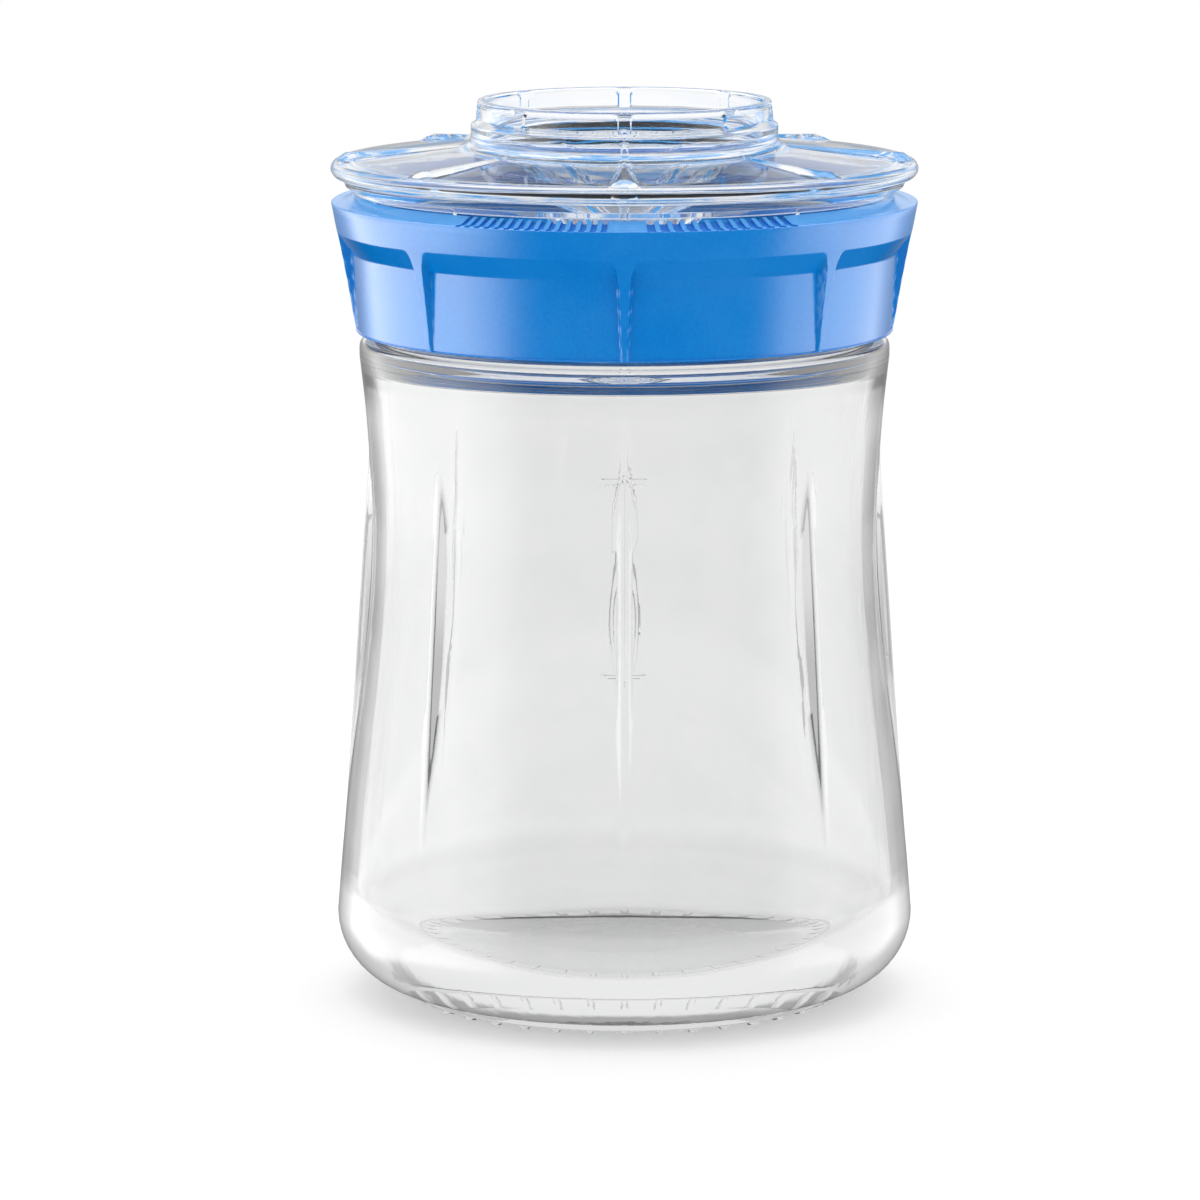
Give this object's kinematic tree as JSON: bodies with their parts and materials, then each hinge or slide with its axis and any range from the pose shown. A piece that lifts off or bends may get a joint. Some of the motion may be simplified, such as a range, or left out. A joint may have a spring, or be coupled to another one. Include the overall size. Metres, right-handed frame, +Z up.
{
  "type": "fermentation jar",
  "caption": "Waisted glass fermentation jar with a screw-on strainer lid ring, flat gasket and a clear turning cover whose raised ring is both knob and cone rim.",
  "frame": {"origin": "centre of the foot, on the surface the jar stands on", "axes": "+Z up along the jar's centre line; -Y is the front, where the strainer slots are; +X is to the right seen from the front"},
  "size_m": [0.1102, 0.1102, 0.1701],
  "materials": {
    "glass": "clear soda-lime glass, polished",
    "lid_plastic": "azure blue plastic with a fine matte grain",
    "clear_plastic": "clear polished plastic",
    "silicone": "translucent white food silicone, satin"
  },
  "bodies": {
    "jar": {"jar": "glass"},
    "gasket": {"jar_gasket": "silicone"},
    "lid": {"lid_ring": "lid_plastic"},
    "seal": {"cover_seal": "silicone"},
    "cover": {"cover": "clear_plastic"}
  },
  "joints": [
    {"name": "lid_rise", "type": "slide", "parent": "jar", "child": "gasket", "axis": [0, 0, 1], "range_m": [0, 0.0051]},
    {"name": "lid_turn", "type": "hinge", "parent": "gasket", "child": "lid", "pos_m": [0, 0, 0.14], "axis": [0, 0, 1], "range_deg": [0, 450]},
    {"name": "cover_lift", "type": "slide", "parent": "lid", "child": "seal", "axis": [0, 0, 1], "range_m": [0, 0.04]},
    {"name": "cover_turn", "type": "hinge", "parent": "seal", "child": "cover", "pos_m": [0, 0, 0.15], "axis": [0, 0, 1], "continuous": true}
  ],
  "couplings": [
    {"joint": "lid_rise", "follows": "lid_turn", "m_per_rad": 0.00063662}
  ]
}
